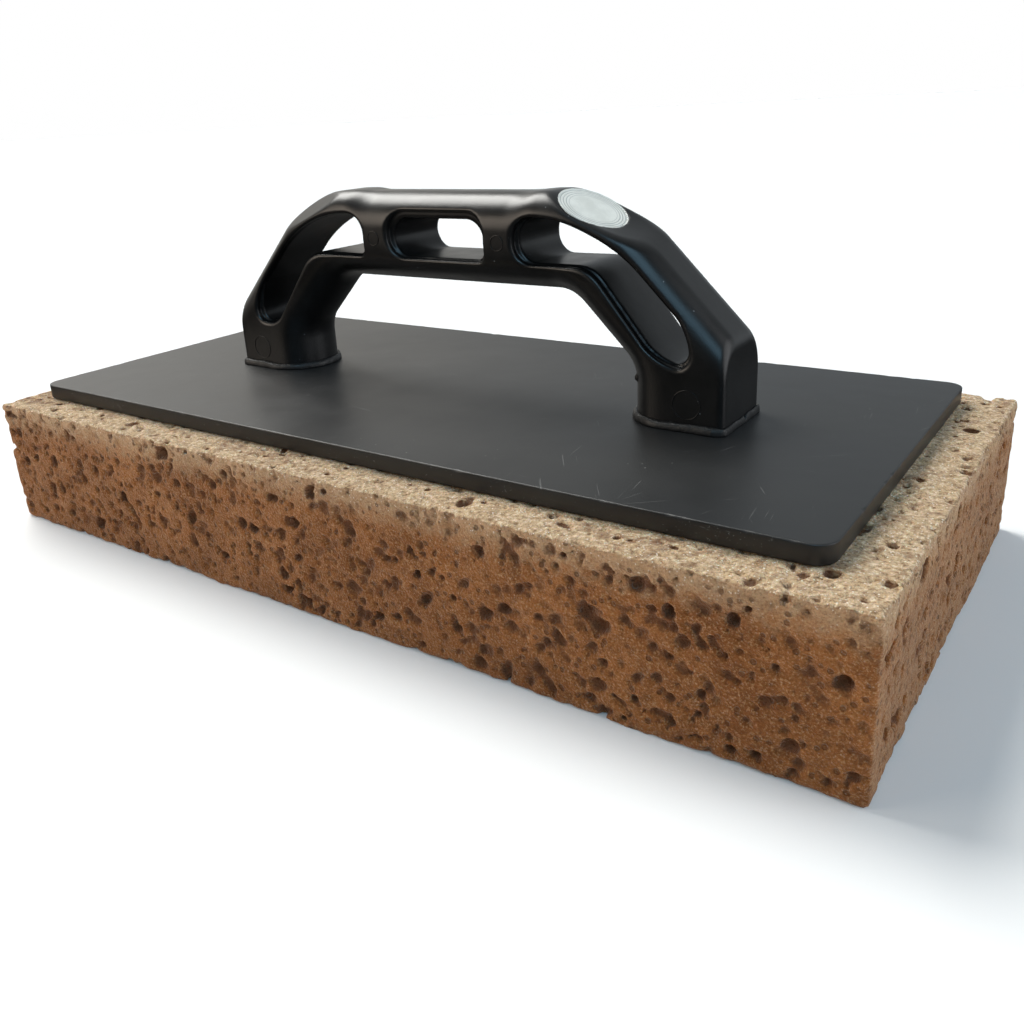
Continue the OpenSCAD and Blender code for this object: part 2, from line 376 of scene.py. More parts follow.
def build_spot_face(material):
    """The turned face of the spot-face: a disc with a few steps near the rim and a thin raised burr."""
    rng = np.random.default_rng(SEED)
    turns, lift, overlap = 240, 0.03, 0.2
    step_radii, step_rise, step_run = (6.9, 7.7, 8.5, 9.0), 0.12, 0.5
    rings = np.concatenate([np.linspace(0.4, 6.4, 18), np.linspace(6.55, SPOT_R + overlap, 42)])
    angle = np.arange(turns) * 2 * math.pi / turns
    points = [np.array([[0, 0, lift]])]
    for r in rings:
        steps = 0.0
        for at in step_radii:
            steps += smooth_step(at, at + step_rise, r) - smooth_step(at + step_rise, at + step_run, r)
        burr = 0.2 * smooth_step(SPOT_R - 0.35, SPOT_R - 0.1, r) * rng.uniform(0.8, 1.2, turns)
        fall = 0.4 * smooth_step(SPOT_R, SPOT_R + overlap, r)
        height = lift + 0.05 * steps + 0.01 * np.sin(3 * angle + r) + burr - fall
        points.append(np.stack([r * np.cos(angle), r * np.sin(angle), height], 1))
    points = np.concatenate(points) @ np.array(SPOT_TURN).T + SPOT
    for _ in range(3):
        over = np.maximum(arch_field(*points.T) - 0.04, 0)
        points = points - over[:, None] * SPOT_AXIS
    faces = [[0, 1 + k, 1 + (k + 1) % turns] for k in range(turns)]
    for i in range(len(rings) - 1):
        a, b = 1 + i * turns, 1 + (i + 1) * turns
        for k in range(turns):
            m = (k + 1) % turns
            faces.append([a + k, b + k, b + m, a + m])
    return make_piece("handle_spot_face", points + [HX, HY, 0], faces, None, material)


def build_ejector_rings(material):
    """Faint raised rings on the handle's front face, left by the mould's ejector pins."""
    marks = [(22.35, SILL_Z + 5.4, 2.05), (78.0, FOOT_Z + 6.8, 3.75)]
    turns, section, half_wide, high = 72, 8, 0.13, 0.05
    points, faces = [], []
    for x, cz, r in marks:
        for cx in (-x, x):
            start = len(points)
            for i in range(turns):
                t = 2 * math.pi * i / turns
                a, b = start + i * section, start + (i + 1) % turns * section
                for j in range(section):
                    s = 2 * math.pi * j / section
                    out = r + half_wide * math.cos(s)
                    y = -HALF_W + high * math.sin(s)
                    points.append([cx + out * math.cos(t), y, cz + out * math.sin(t)])
                    q = (j + 1) % section
                    faces.append([a + j, a + q, b + q, b + j])
    points = np.array(points) + [HX, HY, 0]
    return make_piece("handle_ejector_rings", points, faces, None, material)


# ---------------------------------------------------------------- sponge

sponge_low, sponge_high = box_mm("sponge")

# The block's left end was cut this much too long.
SPONGE_CUT = 2.2
SPONGE_EDGE_R = 1.2

# The foam is wavy and fuzzy within SKIN_DEPTH of a face, and fuzzier within TOP_SKIN of the top.
SKIN_DEPTH, TOP_SKIN = 4.0, 3.0

# Each kind of pore: how many there are in a square millimetre, its smallest and largest radius, and how far
# it stays from the block's edges. The top has only a share of each kind.
PORE_KINDS = ((0.008, 1.1, 1.9, 2.6), (0.045, 0.7, 1.15, 1.2), (0.05, 0.5, 0.7, 0.8))
TOP_SHARES, SIDE_SHARES = (0.12, 0.5, 1.0), (1.0, 1.0, 1.0)
PORE_EDGE, PORE_MARGIN = 0.7, 1.2

# Depth below the skin at which a pore's wall counts as fully hollow.
HOLLOW_DEPTH = 2.2


def foam_skin(axes, middle, half):
    """Distance to the block's slightly wavy and fuzzy faces, before any pore is cut."""
    x, y, z = np.meshgrid(*axes, indexing="ij")
    q = [np.abs(c - m) - h + SPONGE_EDGE_R for c, m, h in zip((x, y, z), middle, half)]
    inner = np.minimum(np.maximum(np.maximum(*q[:2]), q[2]), 0)
    skin = np.sqrt(sum(np.maximum(c, 0) ** 2 for c in q)) + inner - SPONGE_EDGE_R
    near = np.abs(skin) < SKIN_DEPTH
    at = x[near], y[near], z[near]
    wave = 0.3 * lattice_noise(*at, 19.0, 1) + 0.2 * lattice_noise(*at, 5.5, 2)
    fuzz = (0.25 + 0.25 * (at[2] > sponge_high[2] - TOP_SKIN)) * lattice_noise(*at, 1.7, 3)
    skin[near] += wave + fuzz
    return skin


def foam_pores(middle, half):
    """Middle and half sizes of every open pore, cut into all six faces."""
    rng = np.random.default_rng(SEED)
    areas = np.array([half[1] * half[2], half[0] * half[2], half[0] * half[1]]) * 4
    pores = []
    for axis in range(3):
        for side in (-1, 1):
            shares = TOP_SHARES if axis == 2 and side > 0 else SIDE_SHARES
            for share, (rate, small, big, inset) in zip(shares, PORE_KINDS):
                for _ in range(int(share * rate * areas[axis])):
                    centre = middle + rng.uniform(-1, 1, 3) * (half - inset)
                    r = small + (big - small) * rng.random() ** 2
                    wide = [rng.uniform(0.85, 1.25), rng.uniform(0.85, 1.25), rng.uniform(0.8, 1.2)]
                    size = np.array(wide) * r
                    size[axis] = r * rng.uniform(0.9, 1.5)
                    centre[axis] = middle[axis] + side * (half[axis] - size[axis] * rng.uniform(0.15, 0.55))
                    pores.append((centre, size))
    return pores


def cut_pore(value, axes, cell, centre, size):
    """Takes one pore out of the foam, only in the part of the grid that it reaches."""
    reach = size + PORE_MARGIN
    window, apart = [], []
    for c, s, far, axis in zip(centre, size, reach, axes):
        first = max(0, int((c - far - axis[0]) / cell))
        last = min(len(axis), int((c + far - axis[0]) / cell) + 2)
        window.append(slice(first, last))
        apart.append((axis[first:last] - c) / s)
    x, y, z = np.meshgrid(*apart, indexing="ij", sparse=True)
    pore = (np.sqrt(x**2 + y**2 + z**2) - 1) * size.min()
    window = tuple(window)
    value[window] = smooth_max(value[window], -pore, PORE_EDGE)


def build_sponge(material):
    """The foam block, with its depth below the skin stored for the material."""
    cell = 0.75
    low = sponge_low - [SPONGE_CUT, 0, 0]
    axes = grid_points(low, sponge_high, cell)
    middle, half = (low + sponge_high) / 2, (sponge_high - low) / 2
    skin = foam_skin(axes, middle, half)
    value = skin.copy()
    for centre, size in foam_pores(middle, half):
        cut_pore(value, axes, cell, centre, size)
    points, faces = surface_net(value, axes, cell)
    points, faces = largest_part(points, faces)
    points[:, 2] = np.clip(points[:, 2], sponge_low[2], sponge_high[2])
    first = np.array([axis[0] for axis in axes])
    at = np.clip(np.rint((points - first) / cell).astype(int), 0, np.array(skin.shape) - 1)
    hollow = np.clip(-skin[tuple(at.T)] / HOLLOW_DEPTH, 0, 1).astype(np.float32)
    piece = make_piece("sponge_foam", points, faces, "sponge", material)
    layer = piece.data.attributes.new("hollow", "FLOAT", "POINT")
    layer.data.foreach_set("value", hollow)
    return piece


# ---------------------------------------------------------------- plate, adhesive and weld

plate_low, plate_high = box_mm("base_plate")
glue_low, glue_high = box_mm("adhesive_layer")
CORNER_R = 5.0


def rounded_outline(low, high, r, step):
    """Points and outward directions round a rectangle with round corners, going anticlockwise."""
    points, normals = [], []
    turns = 14
    left, right, front, back = low[0] + r, high[0] - r, low[1] + r, high[1] - r
    corners = [(right, front, -90), (right, back, 0), (left, back, 90), (left, front, 180)]
    for i, (cx, cy, start) in enumerate(corners):
        for k in range(turns + 1):
            a = math.radians(start + 90 * k / turns)
            normals.append([math.cos(a), math.sin(a)])
            points.append([cx + r * math.cos(a), cy + r * math.sin(a)])
        nx, ny, _ = corners[(i + 1) % 4]
        a = math.radians(start + 90)
        goal = np.array([nx + r * math.cos(a), ny + r * math.sin(a)])
        here = np.array(points[-1])
        count = max(2, int(np.linalg.norm(goal - here) / step))
        for k in range(1, count):
            points.append(list(here + (goal - here) * k / count))
            normals.append([math.cos(a), math.sin(a)])
    return np.array(points), np.array(normals)


def stack_rings(rings):
    """Joins rings of points into a closed skin with flat ends."""
    count = len(rings[0])
    points = np.concatenate(rings)
    faces = [list(range(count))[::-1]]
    for i in range(len(rings) - 1):
        a, b = i * count, (i + 1) * count
        for k in range(count):
            m = (k + 1) % count
            faces.append([a + k, a + m, b + m, b + k])
    faces.append([(len(rings) - 1) * count + k for k in range(count)])
    return points, faces


def inset_ring(outline, outward, inset, z):
    """The outline moved inward by inset and laid at height z."""
    at = outline - outward * np.asarray(inset).reshape(-1, 1)
    return np.column_stack([at, np.broadcast_to(z, len(at))])


def build_plate(material):
    """A sheet-plastic plate with worn, slightly nicked edges."""
    outline, outward = rounded_outline(plate_low, plate_high, CORNER_R, 0.9)
    x, y = outline.T
    rng = np.random.default_rng(SEED + 5)
    wear = 0.3 + 0.08 * lattice_noise(x, y, 0 * x, 9.0, 5) + 0.08 * lattice_noise(x, y, 0 * x, 2.5, 6)
    for _ in range(34):
        spot = outline[rng.integers(len(outline))]
        gap = np.hypot(x - spot[0], y - spot[1])
        wear = wear + rng.uniform(0.15, 0.5) * np.exp(-((gap / rng.uniform(0.5, 1.4)) ** 2))
    low, high = plate_low[2], plate_high[2]
    levels = [(2.0, low), (0.5, low), (0.12, low + 0.12), (0, low + 0.5), (0, high - 1.2)]
    for a in np.linspace(0, math.pi / 2, 6):
        levels.append((wear * (1 - math.cos(a)), high - wear * (1 - math.sin(a))))
    levels += [(wear + 0.3, high), (2.0, high)]
    points, faces = stack_rings([inset_ring(outline, outward, inset, z) for inset, z in levels])
    return make_piece("plate_sheet", points, faces, "base_plate", material)


def build_adhesive(material):
    """The film of contact adhesive, with an uneven edge."""
    outline, outward = rounded_outline(glue_low, glue_high, CORNER_R, 1.5)
    x, y = outline.T
    uneven = 0.9 + 0.6 * lattice_noise(x, y, 0 * x, 8.0, 7) + 0.3 * lattice_noise(x, y, 0 * x, 3.0, 8)
    low, high = glue_low[2], glue_high[2]
    levels = ((0.5, low), (0.1, low + 0.05), (0, (low + high) / 2), (0.1, high - 0.05), (0.5, high))
    points, faces = stack_rings([inset_ring(outline, outward, uneven + inset, z) for inset, z in levels])
    return make_piece("adhesive_film", points, faces, "adhesive_layer", material)


# Section of the weld flash, as shares of its width and height: up the foot, over a soft ridge and down.
BEAD_PROFILE = (
    (-0.35, 0.0),
    (-0.35, 0.86),
    (0.0, 0.93),
    (0.28, 1.0),
    (0.6, 0.94),
    (0.85, 0.74),
    (0.97, 0.45),
    (1.0, 0.2),
    (0.94, 0.0),
)
BEAD_W, BEAD_END_W = 1.8, 0.8
SPLIT_Y, SPLIT_W = 1.5, 0.45


def foot_outline():
    """Points and outward directions round the right foot: a half-round, two straight sides, a flat end."""
    inner, corner = FOOT_IN + HALF_W, 1.0
    path, normals = [], []

    def arc(x, y, r, angles):
        for t in angles:
            path.append([x + r * math.cos(t), y + r * math.sin(t)])
            normals.append([math.cos(t), math.sin(t)])

    def straight(start, end, count, normal):
        path.extend(np.linspace(start, end, count))
        normals.extend([normal] * count)

    turn_x, turn_y = HALF_L - corner, HALF_W - corner
    arc(inner, 0, HALF_W, np.linspace(math.pi / 2, 3 * math.pi / 2, 90))
    straight((inner + 0.5, -HALF_W), (turn_x, -HALF_W), 28, (0, -1))
    arc(turn_x, -turn_y, corner, np.linspace(-math.pi / 2, 0, 9)[1:])
    straight((HALF_L, 0.4 - turn_y), (HALF_L, turn_y - 0.4), 50, (1, 0))
    arc(turn_x, turn_y, corner, np.linspace(0, math.pi / 2, 9))
    straight((turn_x - 0.5, HALF_W), (inner + 0.5, HALF_W), 28, (0, 1))
    return np.array(path), np.array(normals)


def build_bead(side, material):
    """The weld flash squeezed out round one foot, uneven all along. The right one is split at its end."""
    node = "weld_bead_right" if side > 0 else "weld_bead_left"
    low, high = box_mm(node)
    bead_h = high[2] - low[2]
    path, normals = foot_outline()
    x, y = path.T
    bump = lattice_noise(side * x, y, 0 * x, 6.0, 11) + 0.6 * lattice_noise(side * x, y, 0 * x, 2.2, 12)
    tall = bead_h * (0.84 + 0.1 * bump)
    if side > 0:
        from_split = np.hypot(x - HALF_L, y - SPLIT_Y)
        tall = tall * (1 - 0.75 * np.exp(-((from_split / SPLIT_W) ** 2)))
    end = smooth_step(HALF_L - 2.5, HALF_L - 0.2, x)
    wide = (1.55 - 0.8 * end) * (0.95 + 0.14 * lattice_noise(side * x, y, 0 * x, 4.0, 13))
    wide = np.minimum(wide, BEAD_W + (BEAD_END_W - BEAD_W) * end)
    tall = np.minimum(tall, bead_h)
    points, faces = [], []
    n, m = len(path), len(BEAD_PROFILE)
    for i in range(n):
        for out, up in BEAD_PROFILE:
            p = path[i] + normals[i] * (out * wide[i])
            points.append([side * p[0], p[1], low[2] + up * tall[i]])
        here, ahead = i * m, (i + 1) % n * m
        for j in range(m):
            k = (j + 1) % m
            face = [here + j, ahead + j, ahead + k, here + k]
            faces.append(face if side > 0 else face[::-1])
    name = "weld_flash_right" if side > 0 else "weld_flash_left"
    return make_piece(name, np.array(points) + [HX, HY, 0], faces, node, material)


# ---------------------------------------------------------------- materials


# Where a Mix node that is set to colours keeps its factor, its two colours and its result.
MIX_COLOUR_IN, MIX_COLOUR_OUT = (0, 6, 7), 2


class Nodes:
    """Short ways to add nodes to a tree."""

    def __init__(self, tree):
        self.tree = tree

    def put(self, node, sockets):
        """Links or sets each named or numbered input of a node."""
        for key, value in sockets.items():
            socket = node.inputs[key]
            if isinstance(value, bpy.types.NodeSocket):
                self.tree.links.new(value, socket)
            else:
                socket.default_value = value
        return node

    def math(self, kind, a, b=0.0):
        """One step of arithmetic."""
        node = self.tree.nodes.new("ShaderNodeMath")
        node.operation = kind
        return self.put(node, {0: a, 1: b}).outputs[0]

    def spread(self, value, low, high, out_low=0.0, out_high=1.0):
        """Maps value from one range to another, smoothly and held at the ends."""
        node = self.tree.nodes.new("ShaderNodeMapRange")
        node.interpolation_type = "SMOOTHSTEP"
        values = {"Value": value, "From Min": low, "From Max": high, "To Min": out_low, "To Max": out_high}
        return self.put(node, values).outputs["Result"]

    def blend(self, factor, a, b):
        """Colour a where factor is 0, colour b where it is 1."""
        node = self.tree.nodes.new("ShaderNodeMix")
        node.data_type = "RGBA"
        colours = [c if isinstance(c, bpy.types.NodeSocket) else (*c, 1.0) for c in (a, b)]
        return self.put(node, dict(zip(MIX_COLOUR_IN, (factor, *colours)))).outputs[MIX_COLOUR_OUT]

    def part(self, kind, value, output):
        """One output of a node with a single input."""
        node = self.tree.nodes.new(kind)
        self.tree.links.new(value, node.inputs[0])
        return node.outputs[output]


class Paint(Nodes):
    """A Principled material, and the nodes that its patterns are made of."""

    def __init__(self, name, **sockets):
        self.material = bpy.data.materials.new(name)
        self.material.use_nodes = True
        super().__init__(self.material.node_tree)
        self.shader = self.tree.nodes["Principled BSDF"]
        for socket, value in sockets.items():
            self.shader.inputs[socket.replace("_", " ")].default_value = value
        self.where = self.tree.nodes.new("ShaderNodeTexCoord").outputs["Object"]

    def mapped(self, scale=(1, 1, 1), turn=(0, 0, 0), shift=(0, 0, 0)):
        """Object coordinates, turned and stretched."""
        node = self.tree.nodes.new("ShaderNodeMapping")
        node.vector_type = "TEXTURE"
        values = {"Vector": self.where, "Scale": scale, "Location": shift}
        values["Rotation"] = [math.radians(t) for t in turn]
        return self.put(node, values).outputs[0]

    def noise(self, size_mm, detail=2.0, rough=0.5, vector=None):
        """Cloudy noise whose largest patches are about size_mm across."""
        node = self.tree.nodes.new("ShaderNodeTexNoise")
        values = {"Vector": vector or self.where, "Scale": 1 / (size_mm * MM)}
        return self.put(node, values | {"Detail": detail, "Roughness": rough}).outputs["Fac"]

    def cells(self, size_mm, output="Distance"):
        """Scattered cells about size_mm apart: the distance to the nearest middle, or a colour for each."""
        node = self.tree.nodes.new("ShaderNodeTexVoronoi")
        return self.put(node, {"Vector": self.where, "Scale": 1 / (size_mm * MM)}).outputs[output]

    def stored(self, name):
        """A value that the mesh carries at its points."""
        node = self.tree.nodes.new("ShaderNodeAttribute")
        node.attribute_name = name
        return node.outputs["Fac"]

    def distance(self, point_mm):
        """Distance in metres from a point given in millimetres."""
        node = self.tree.nodes.new("ShaderNodeVectorMath")
        node.operation = "DISTANCE"
        return self.put(node, {0: self.where, 1: [c * MM for c in point_mm]}).outputs["Value"]

    def bump(self, height, depth_mm, below=None):
        """Relief depth_mm deep, laid over another relief if one is given."""
        node = self.tree.nodes.new("ShaderNodeBump")
        values = {"Height": height, "Distance": depth_mm * MM, "Strength": 1.0}
        if below is not None:
            values["Normal"] = below
        return self.put(node, values).outputs["Normal"]

    def finish(self, colour, rough, normal):
        """Links the shader's inputs and gives the material."""
        for socket, value in (("Base Color", colour), ("Roughness", rough), ("Normal", normal)):
            self.tree.links.new(value, self.shader.inputs[socket])
        return self.material


def scratches(paint, angles, gap_mm=2.2, length_mm=45.0, limit=0.7):
    """Thin broken lines in a few directions, from 0 to 1."""
    total = None
    for i, angle in enumerate(angles):
        line = paint.mapped((1, length_mm / gap_mm, 1), (0, 0, angle), (0.013 * i, 0.007 * i, 0))
        thread = paint.spread(paint.noise(gap_mm * 0.4, 2.0, 0.6, line), limit, limit + 0.05)
        patch = paint.spread(paint.noise(30.0, 1.0, 0.5, paint.mapped(shift=(0.1 * i, 0, 0))), 0.52, 0.62)
        both = paint.math("MULTIPLY", thread, patch)
        total = both if total is None else paint.math("MAXIMUM", total, both)
    return total


def handle_plastic():
    """Black moulded plastic, semi-gloss, a little smudged and rubbed."""
    p = Paint("handle_plastic", IOR=1.5)
    smudge = p.noise(14.0, 4.0, 0.6)
    grain = p.noise(0.35, 2.0, 0.5)
    rub = scratches(p, (12, 74, 140), 1.4, 22.0, 0.72)
    colour = p.blend(p.spread(smudge, 0.35, 0.7), (0.0025, 0.0026, 0.0028), (0.005, 0.0052, 0.0055))
    colour = p.blend(p.math("MULTIPLY", rub, 0.5), colour, (0.06, 0.063, 0.065))
    speck = p.spread(p.cells(3.1), 0.075, 0.05)
    colour = p.blend(p.math("MULTIPLY", speck, p.spread(smudge, 0.55, 0.6)), colour, (0.12, 0.13, 0.135))
    rough = p.math("ADD", p.spread(smudge, 0.3, 0.75, 0.29, 0.37), p.math("MULTIPLY", rub, 0.1))
    normal = p.bump(p.noise(6.0, 2.0, 0.5), 0.05)
    normal = p.bump(grain, 0.012, normal)
    return p.finish(colour, rough, normal)


def turned_plastic():
    """The same plastic where it was faced off, with fine turning marks. Its pale colour is partly the
    faced-off plastic and partly a painted reflection of the light.
    """
    centre = SPOT + [HX, HY, 0]
    p = Paint("turned_plastic", IOR=1.5)
    away = p.distance(centre)
    fine_pitch, wide_pitch = 0.34 * MM, 0.8 * MM
    rings = p.math("SINE", p.math("MULTIPLY", away, 2 * math.pi / fine_pitch))
    drift = p.noise(5.0, 3.0, 0.6)
    # Partly painted reflection: the pale base colour also stands in for the bright reflection that the flat
    # face catches.
    colour = p.blend(p.spread(drift, 0.3, 0.7), (0.72, 0.72, 0.66), (0.84, 0.84, 0.78))
    colour = p.blend(p.spread(rings, 0.4, 1.0, 0.0, 0.3), colour, (0.42, 0.43, 0.41))
    wide = p.math("SINE", p.math("MULTIPLY", away, 2 * math.pi / wide_pitch))
    wide = p.math("MULTIPLY", p.spread(wide, 0.3, 0.9, 0.0, 0.7), p.spread(away, 0.0058, 0.0072))
    colour = p.blend(wide, colour, (0.3, 0.31, 0.3))
    rough = p.spread(drift, 0.3, 0.7, 0.36, 0.46)
    normal = p.bump(rings, 0.012)
    normal = p.bump(p.noise(0.4, 2.0, 0.6), 0.02, normal)
    return p.finish(colour, rough, normal)


def plate_plastic():
    """Dark grey sheet plastic, satin, with scuffs and fine scratches."""
    p = Paint("plate_plastic", IOR=1.5)
    cloud = p.noise(45.0, 3.0, 0.55)
    grain = p.noise(0.3, 2.0, 0.55)
    lines = scratches(p, (8, 35, 82, 128, 160), 1.6, 60.0, 0.69)
    swipe_x, swipe_y, swipe_r = 70, 12, 31 * MM
    arc = p.distance((plate_low[0] + swipe_x, plate_low[1] + swipe_y, plate_high[2]))
    band = p.spread(p.math("ABSOLUTE", p.math("SUBTRACT", arc, swipe_r)), 0.0016, 0.0004)
    band = p.math("MULTIPLY", band, p.spread(p.noise(3.0, 3.0, 0.7), 0.56, 0.72, 0.0, 0.5))
    mark = p.math("MAXIMUM", lines, band)
    dust = p.spread(p.cells(4.5), 0.06, 0.035)
    colour = p.blend(p.spread(cloud, 0.3, 0.7), (0.0125, 0.013, 0.0135), (0.019, 0.0195, 0.0195))
    colour = p.blend(p.math("MULTIPLY", mark, 0.6), colour, (0.16, 0.16, 0.155))
    colour = p.blend(p.math("MULTIPLY", dust, p.spread(cloud, 0.5, 0.6)), colour, (0.16, 0.16, 0.15))
    rough = p.spread(cloud, 0.3, 0.7, 0.36, 0.44)
    rough = p.math("ADD", rough, p.math("MULTIPLY", mark, 0.12))
    normal = p.bump(cloud, 0.25)
    normal = p.bump(grain, 0.01, normal)
    normal = p.bump(p.math("MULTIPLY", mark, -1.0), 0.02, normal)
    return p.finish(colour, rough, normal)


def weld_plastic():
    """Plastic that was melted and squeezed out: glossier, lumpy."""
    p = Paint("weld_plastic", IOR=1.5)
    lump = p.noise(1.7, 3.0, 0.6)
    colour = p.blend(p.spread(lump, 0.35, 0.7), (0.004, 0.0042, 0.0045), (0.009, 0.0093, 0.0097))
    rough = p.spread(p.noise(2.6, 2.0, 0.5), 0.3, 0.7, 0.42, 0.62)
    normal = p.bump(lump, 0.25)
    return p.finish(colour, rough, normal)


def glue_rubber():
    """Dried contact adhesive, amber and slightly tacky."""
    p = Paint("glue_rubber", IOR=1.5)
    drift = p.noise(3.0, 3.0, 0.6)
    colour = p.blend(p.spread(drift, 0.35, 0.7), (0.28, 0.17, 0.06), (0.42, 0.28, 0.12))
    return p.finish(colour, p.spread(drift, 0.3, 0.7, 0.35, 0.6), p.bump(drift, 0.2))


def sponge_foam():
    """Tan hydro sponge: a granular skin full of soft brown pores, darkened inside partly by painted shade.
    It is paler with painted light where it faces up and at the end facing +X, with painted glints and
    painted fuzz highlights on the top.
    """
    p = Paint("sponge_foam", IOR=1.4, Sheen_Weight=0.2, Sheen_Roughness=0.4, Specular_IOR_Level=0.15)
    p.shader.inputs["Sheen Tint"].default_value = (1.0, 0.86, 0.68, 1.0)
    p.shader.inputs["Subsurface Weight"].default_value = 0.3
    p.shader.inputs["Subsurface Radius"].default_value = (1.0, 0.45, 0.2)
    p.shader.inputs["Subsurface Scale"].default_value = 0.002
    patch = p.noise(16.0, 3.0, 0.6)
    fine = p.noise(0.55, 2.0, 0.7)
    mottle = p.noise(2.6, 3.0, 0.6)
    height = p.part("ShaderNodeSeparateXYZ", p.where, "Z")
    facing = p.tree.nodes.new("ShaderNodeTexCoord").outputs["Normal"]
    upward = p.part("ShaderNodeSeparateXYZ", facing, "Z")
    endward = p.part("ShaderNodeSeparateXYZ", facing, "X")
    # Painted light: the upward faces near the top, and a band along the top of the sides that fades
    # downward, are made paler to stand in for light falling from above.
    top = p.math("MULTIPLY", p.spread(upward, 0.25, 0.8), p.spread(height, 0.034, 0.0385))
    margin = p.math("ADD", height, p.spread(mottle, 0.2, 0.8, -0.002, 0.002))
    margin = p.spread(margin, 0.030, 0.040, 0.0, 0.55)
    painted_top_light = p.math("MAXIMUM", top, margin)
    colour = p.blend(p.spread(patch, 0.3, 0.7), (0.23, 0.078, 0.021), (0.34, 0.126, 0.038))
    colour = p.blend(p.spread(mottle, 0.42, 0.75, 0.0, 0.5), colour, (0.14, 0.05, 0.016))
    # Painted light: faces turned toward +X are paler, standing in for light from that side.
    colour = p.blend(p.spread(endward, 0.5, 0.9, 0.0, 0.45), colour, (0.38, 0.215, 0.115))
    colour = p.blend(p.math("MULTIPLY", painted_top_light, 0.85), colour, (0.70, 0.505, 0.31))
    colour = p.blend(p.spread(fine, 0.5, 0.72, 0.0, 0.5), colour, (0.56, 0.34, 0.17))
    colour = p.blend(p.spread(fine, 0.5, 0.3, 0.0, 0.4), colour, (0.13, 0.05, 0.018))
    grit = p.noise(1.2, 3.0, 0.75)
    dark_grit = p.math("MULTIPLY", p.spread(grit, 0.5, 0.35), p.math("MULTIPLY", top, 0.75))
    colour = p.blend(dark_grit, colour, (0.22, 0.12, 0.055))
    # Painted highlight: near-white flecks of fuzz on the top, standing in for light caught by the fuzz.
    painted_fuzz_highlight = p.math("MULTIPLY", p.spread(grit, 0.52, 0.68), p.math("MULTIPLY", top, 0.7))
    colour = p.blend(painted_fuzz_highlight, colour, (1.0, 0.83, 0.61))
    # Painted shade: small pores are drawn as dark spots, in colour and in bump, and their darkness is
    # painted shade. There are fewer on the top.
    pick = p.part("ShaderNodeSeparateColor", p.cells(2.1, output="Color"), 0)
    pits = p.math("MULTIPLY", p.spread(p.cells(2.1), 0.36, 0.22), p.spread(pick, 0.5, 0.6))
    pits = p.math("MULTIPLY", pits, p.spread(top, 0.0, 1.0, 1.0, 0.25))
    colour = p.blend(p.math("MULTIPLY", pits, 0.62), colour, (0.10, 0.036, 0.014))
    # Partly painted shade: the walls inside the cut pores are darker brown, partly the foam's own colour
    # and partly shade that falls in the hollows.
    hollow = p.math("ADD", p.stored("hollow"), p.spread(mottle, 0.3, 0.7, -0.08, 0.08))
    depth = p.spread(hollow, 0.08, 0.5, 0.0, 0.9)
    colour = p.blend(depth, colour, (0.16, 0.064, 0.03))
    # Painted glints: tiny near-white specks, strongest on the top, standing in for highlights.
    few = p.spread(p.noise(1.1, 1.0, 0.5), 0.46, 0.56)
    glint = p.math("MULTIPLY", p.spread(p.cells(0.75), 0.3, 0.16), few)
    glint = p.math("MULTIPLY", glint, p.spread(painted_top_light, 0.2, 1.0, 0.1, 1.0))
    glint = p.math("MULTIPLY", glint, p.math("SUBTRACT", 1.0, depth))
    colour = p.blend(glint, colour, (1.0, 0.93, 0.8))
    rough = p.math("SUBTRACT", p.spread(fine, 0.3, 0.7, 0.95, 0.75), p.math("MULTIPLY", glint, 0.35))
    grain = p.math("ADD", fine, p.math("MULTIPLY", p.cells(0.65), 0.6))
    grain = p.math("ADD", grain, p.math("MULTIPLY", grit, p.math("MULTIPLY", top, 1.6)))
    normal = p.bump(p.math("SUBTRACT", grain, pits), 0.5)
    return p.finish(colour, rough, normal)


# ---------------------------------------------------------------- build

plastic = handle_plastic()
build_handle(plastic)
build_spot_face(turned_plastic())
build_ejector_rings(plastic)
build_sponge(sponge_foam())
build_plate(plate_plastic())
build_adhesive(glue_rubber())
weld = weld_plastic()
for side in (-1, 1):
    build_bead(side, weld)

# ---------------------------------------------------------------- stage, camera and lights


def floor():
    """A plain pale floor, far larger than the view."""
    size = 40
    corners = [(-size, -size, 0), (size, -size, 0), (size, size, 0), (-size, size, 0)]
    mesh = bpy.data.meshes.new("floor")
    mesh.from_pydata(corners, [], [(0, 1, 2, 3)])
    obj = bpy.data.objects.new("floor", mesh)
    bpy.context.scene.collection.objects.link(obj)
    p = Paint("floor_paint", Specular_IOR_Level=0.1)
    drift = p.noise(400.0, 2.0, 0.5)
    colour = p.blend(drift, (0.93, 0.92, 0.91), (0.94, 0.93, 0.92))
    mesh.materials.append(p.finish(colour, p.spread(drift, 0, 1, 0.85, 0.95), p.bump(drift, 0.01)))
    obj.visible_glossy = False


def add_lamp(name, kind, toward, strength, colour):
    """A lamp that shines on the float from the side that toward points to."""
    light = bpy.data.lights.new(name, kind)
    light.energy, light.color = strength, colour
    obj = bpy.data.objects.new(name, light)
    obj.rotation_euler = Vector(toward).to_track_quat("Z", "Y").to_euler()
    bpy.context.scene.collection.objects.link(obj)
    return obj


def soft_sun(name, toward, spread, strength, colour):
    """A distant lamp as wide as spread degrees, in the direction given."""
    add_lamp(name, "SUN", toward, strength, colour).data.angle = math.radians(spread)


def soft_panel(name, place, size, watts, colour):
    """A square lamp near the float, turned toward it."""
    obj = add_lamp(name, "AREA", place, watts, colour)
    obj.data.size, obj.location = size, place


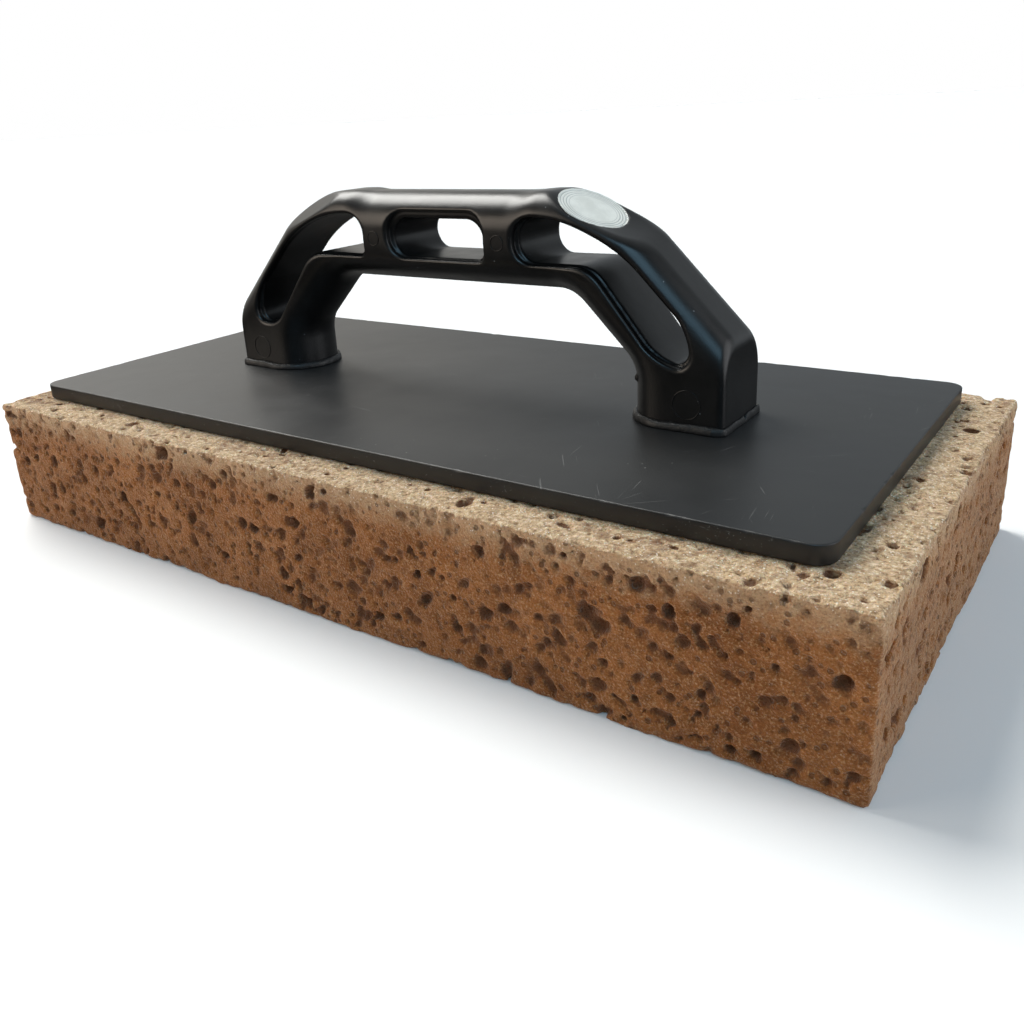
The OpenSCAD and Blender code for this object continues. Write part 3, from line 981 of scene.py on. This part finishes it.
def studio_world():
    """White to the camera. As light, a soft room: brightest low behind the float, dim in front and below,
    warm on the left and cool elsewhere."""
    world = bpy.data.worlds.new("studio")
    world.use_nodes = True
    nodes = Nodes(world.node_tree)
    toward = nodes.tree.nodes.new("ShaderNodeTexCoord").outputs["Generated"]
    x, y, z = (nodes.part("ShaderNodeSeparateXYZ", toward, axis) for axis in "XYZ")
    behind = nodes.spread(y, -0.3, 0.5, 0.22, 1.0)
    height = nodes.spread(z, 0.12, 0.5, 0.55, 0.33)
    ground = nodes.spread(z, -0.12, 0.02, 0.1, 1.0)
    left = nodes.spread(x, -0.75, -0.35, 1.5, 1.0)
    back = nodes.math("MULTIPLY", behind, height)
    room = nodes.math("MULTIPLY", back, nodes.math("MULTIPLY", ground, left))
    seen = nodes.tree.nodes.new("ShaderNodeLightPath").outputs["Is Camera Ray"]
    tint = nodes.blend(nodes.spread(x, -0.75, -0.35), (1.0, 0.96, 0.88), (0.9, 0.97, 1.02))
    colour = nodes.blend(seen, tint, (1.0, 1.0, 1.0))
    strength = nodes.spread(seen, 0.0, 1.0, room, 1.0)
    nodes.put(nodes.tree.nodes["Background"], {"Color": colour, "Strength": strength})
    bpy.context.scene.world = world


def camera():
    """Looks at the float from the right, above and in front, with a slight roll."""
    place = (0.1710, -0.2176, 0.1227)
    azimuth, elevation, roll = math.radians(35.69), math.radians(19.70), math.radians(-3.02)
    flat = math.cos(elevation)
    back = Vector((math.sin(azimuth) * flat, -math.cos(azimuth) * flat, math.sin(elevation)))
    right = (-back).cross(Vector((0, 0, 1))).normalized()
    up = right.cross(-back)
    across = right * math.cos(roll) + up * math.sin(roll)
    upward = -right * math.sin(roll) + up * math.cos(roll)
    data = bpy.data.cameras.new("camera")
    data.sensor_width, data.lens = 36.0, 33.20
    data.shift_y = -0.0605
    obj = bpy.data.objects.new("camera", data)
    turn = Matrix((across, upward, back)).transposed().to_4x4()
    obj.matrix_world = Matrix.Translation(place) @ turn
    data.clip_start = 0.01
    bpy.context.scene.collection.objects.link(obj)
    bpy.context.scene.camera = obj


floor()
camera()
soft_sun("key_left", (-0.62, 0.17, 0.77), 34, 2.8, (1.0, 0.99, 0.95))
soft_sun("fill_front", (0.32, -0.6, 0.73), 34, 0.85, (0.42, 0.75, 1.0))
soft_sun("fill_right", (0.94, 0.12, 0.32), 60, 1.2, (0.96, 0.97, 1.0))
soft_panel("front_left", (-0.5, -0.5, 0.3), 0.4, 1.6, (1.0, 0.86, 0.72))
studio_world()
bpy.context.scene.view_settings.view_transform = "Standard"
